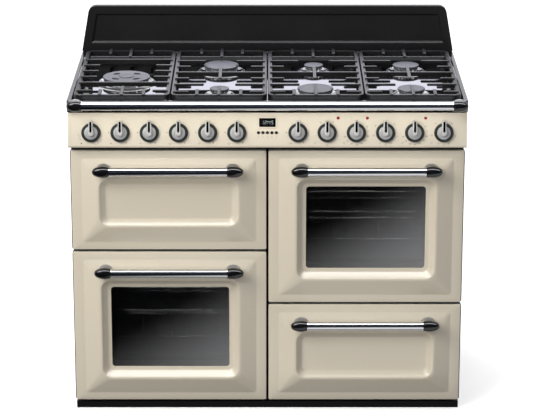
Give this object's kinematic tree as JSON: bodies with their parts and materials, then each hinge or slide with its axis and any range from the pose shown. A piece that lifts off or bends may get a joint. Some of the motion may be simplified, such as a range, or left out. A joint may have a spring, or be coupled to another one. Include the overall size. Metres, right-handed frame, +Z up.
{
  "type": "range cooker",
  "caption": "Free-standing dual-fuel range cooker: gas hob with cast-iron pan supports, drop-down grill and oven doors, storage drawer, control knobs and clock.",
  "frame": {"origin": "centre of the footprint on the floor, midway between the rail's front and the back of the splashback", "axes": "+X to the cook's right, +Y from the front to the back, +Z up"},
  "size_m": [1.1, 0.6521, 1.051],
  "materials": {
    "cream_enamel": "gloss vitreous enamel, cream",
    "black_enamel": "mirror-gloss black enamel",
    "cavity_enamel": "speckled easy-clean oven enamel",
    "coated_sheet": "black painted sheet",
    "galvanised_sheet": "galvanised steel sheet",
    "chrome": "polished chrome plate",
    "chromed_wire": "bright chromed wire",
    "satin_knob": "satin and bright chrome with a dark skirt",
    "cast_iron": "matt black enamelled cast iron",
    "burner_alloy": "cast aluminium, dull",
    "cap_enamel": "satin silver caps",
    "dark_glass": "dark tinted toughened glass",
    "seal": "woven heat-resistant seal",
    "brass": "machined brass",
    "control_body": "moulded control bodies",
    "clock_plastic": "gloss black",
    "button_plastic": "gloss black buttons",
    "red_lens": "clear red lens",
    "element_sheath": "heat-blued steel sheath"
  },
  "bodies": {
    "root": {"base_tray": "galvanised_sheet", "side_panels": "coated_sheet", "back_panel": "galvanised_sheet", "plinth": "coated_sheet", "levelling_feet": "galvanised_sheet", "front_frame": "coated_sheet", "hob_top": "black_enamel", "splashback": "black_enamel", "control_panel": "cream_enamel", "front_rail": "chrome", "burner_bases": "burner_alloy", "burner_crowns": "burner_alloy", "burner_caps": "cap_enamel", "gas_taps": "brass", "oven_controls": "control_body", "grill_cavity": "cavity_enamel", "main_oven_cavity": "cavity_enamel", "second_oven_cavity": "cavity_enamel", "heating_elements": "element_sheath", "wire_racks": "chromed_wire", "door_seals": "seal", "door_hinges": "galvanised_sheet", "clock": "clock_plastic", "indicator_lamps": "red_lens", "drawer_runners": "galvanised_sheet"},
    "grill_door": {"grill_door_panel": "cream_enamel", "grill_door_liner": "galvanised_sheet", "grill_door_handle": "chrome"},
    "main_oven_door": {"main_oven_door_panel": "cream_enamel", "main_oven_door_liner": "galvanised_sheet", "main_oven_door_handle": "chrome", "main_oven_door_glass": "dark_glass"},
    "second_oven_door": {"second_oven_door_panel": "cream_enamel", "second_oven_door_liner": "galvanised_sheet", "second_oven_door_handle": "chrome", "second_oven_door_glass": "dark_glass"},
    "drawer": {"drawer_front": "cream_enamel", "drawer_box": "galvanised_sheet", "drawer_handle": "chrome"},
    "knob_1": {"knob_1": "satin_knob"},
    "knob_2": {"knob_2": "satin_knob"},
    "knob_3": {"knob_3": "satin_knob"},
    "knob_4": {"knob_4": "satin_knob"},
    "knob_5": {"knob_5": "satin_knob"},
    "knob_6": {"knob_6": "satin_knob"},
    "knob_7": {"knob_7": "satin_knob"},
    "knob_8": {"knob_8": "satin_knob"},
    "knob_9": {"knob_9": "satin_knob"},
    "knob_10": {"knob_10": "satin_knob"},
    "knob_11": {"knob_11": "satin_knob"},
    "knob_12": {"knob_12": "satin_knob"},
    "clock_button_1": {"clock_button_1": "button_plastic"},
    "clock_button_2": {"clock_button_2": "button_plastic"},
    "clock_button_3": {"clock_button_3": "button_plastic"},
    "clock_button_4": {"clock_button_4": "button_plastic"},
    "clock_button_5": {"clock_button_5": "button_plastic"},
    "pan_support_left": {"pan_support_left": "cast_iron"},
    "pan_support_centre_left": {"pan_support_centre_left": "cast_iron"},
    "pan_support_centre_right": {"pan_support_centre_right": "cast_iron"},
    "pan_support_right": {"pan_support_right": "cast_iron"}
  },
  "joints": [
    {"name": "grill_door_drop", "type": "hinge", "parent": "root", "child": "grill_door", "pos_m": [-0.274, -0.248, 0.52], "axis": [1, 0, 0], "range_deg": [0, 90]},
    {"name": "main_oven_door_drop", "type": "hinge", "parent": "root", "child": "main_oven_door", "pos_m": [-0.274, -0.248, 0.07], "axis": [1, 0, 0], "range_deg": [0, 90]},
    {"name": "second_oven_door_drop", "type": "hinge", "parent": "root", "child": "second_oven_door", "pos_m": [0.274, -0.248, 0.364], "axis": [1, 0, 0], "range_deg": [0, 90]},
    {"name": "drawer_slide", "type": "slide", "parent": "root", "child": "drawer", "axis": [0, -1, 0], "range_m": [0, 0.42]},
    {"name": "knob_1_turn", "type": "hinge", "parent": "root", "child": "knob_1", "pos_m": [-0.484, -0.27389, 0.822], "axis": [0, -0.9848, 0.1736], "range_deg": [0, 210]},
    {"name": "knob_2_turn", "type": "hinge", "parent": "root", "child": "knob_2", "pos_m": [-0.404, -0.27389, 0.822], "axis": [0, -0.9848, 0.1736], "range_deg": [0, 210]},
    {"name": "knob_3_turn", "type": "hinge", "parent": "root", "child": "knob_3", "pos_m": [-0.324, -0.27389, 0.822], "axis": [0, -0.9848, 0.1736], "range_deg": [0, 210]},
    {"name": "knob_4_turn", "type": "hinge", "parent": "root", "child": "knob_4", "pos_m": [-0.244, -0.27389, 0.822], "axis": [0, -0.9848, 0.1736], "range_deg": [0, 210]},
    {"name": "knob_5_turn", "type": "hinge", "parent": "root", "child": "knob_5", "pos_m": [-0.164, -0.27389, 0.822], "axis": [0, -0.9848, 0.1736], "range_deg": [0, 210]},
    {"name": "knob_6_turn", "type": "hinge", "parent": "root", "child": "knob_6", "pos_m": [-0.084, -0.27389, 0.822], "axis": [0, -0.9848, 0.1736], "range_deg": [0, 210]},
    {"name": "knob_7_turn", "type": "hinge", "parent": "root", "child": "knob_7", "pos_m": [0.084, -0.27389, 0.822], "axis": [0, -0.9848, 0.1736], "range_deg": [0, 210]},
    {"name": "knob_8_turn", "type": "hinge", "parent": "root", "child": "knob_8", "pos_m": [0.164, -0.27389, 0.822], "axis": [0, -0.9848, 0.1736], "range_deg": [-225, 0]},
    {"name": "knob_9_turn", "type": "hinge", "parent": "root", "child": "knob_9", "pos_m": [0.244, -0.27389, 0.822], "axis": [0, -0.9848, 0.1736], "range_deg": [-225, 0]},
    {"name": "knob_10_turn", "type": "hinge", "parent": "root", "child": "knob_10", "pos_m": [0.324, -0.27389, 0.822], "axis": [0, -0.9848, 0.1736], "range_deg": [-225, 0]},
    {"name": "knob_11_turn", "type": "hinge", "parent": "root", "child": "knob_11", "pos_m": [0.404, -0.27389, 0.822], "axis": [0, -0.9848, 0.1736], "range_deg": [-225, 0]},
    {"name": "knob_12_turn", "type": "hinge", "parent": "root", "child": "knob_12", "pos_m": [0.484, -0.27389, 0.822], "axis": [0, -0.9848, 0.1736], "range_deg": [-225, 0]},
    {"name": "clock_button_1_press", "type": "slide", "parent": "root", "child": "clock_button_1", "axis": [0, 0.9848, -0.1736], "range_m": [0, 0.0015], "stiffness_N_per_m": 600},
    {"name": "clock_button_2_press", "type": "slide", "parent": "root", "child": "clock_button_2", "axis": [0, 0.9848, -0.1736], "range_m": [0, 0.0015], "stiffness_N_per_m": 600},
    {"name": "clock_button_3_press", "type": "slide", "parent": "root", "child": "clock_button_3", "axis": [0, 0.9848, -0.1736], "range_m": [0, 0.0015], "stiffness_N_per_m": 600},
    {"name": "clock_button_4_press", "type": "slide", "parent": "root", "child": "clock_button_4", "axis": [0, 0.9848, -0.1736], "range_m": [0, 0.0015], "stiffness_N_per_m": 600},
    {"name": "clock_button_5_press", "type": "slide", "parent": "root", "child": "clock_button_5", "axis": [0, 0.9848, -0.1736], "range_m": [0, 0.0015], "stiffness_N_per_m": 600},
    {"name": "pan_support_left_lift", "type": "slide", "parent": "root", "child": "pan_support_left", "axis": [0, 0, 1], "range_m": [0, 0.15]},
    {"name": "pan_support_centre_left_lift", "type": "slide", "parent": "root", "child": "pan_support_centre_left", "axis": [0, 0, 1], "range_m": [0, 0.15]},
    {"name": "pan_support_centre_right_lift", "type": "slide", "parent": "root", "child": "pan_support_centre_right", "axis": [0, 0, 1], "range_m": [0, 0.15]},
    {"name": "pan_support_right_lift", "type": "slide", "parent": "root", "child": "pan_support_right", "axis": [0, 0, 1], "range_m": [0, 0.15]}
  ]
}
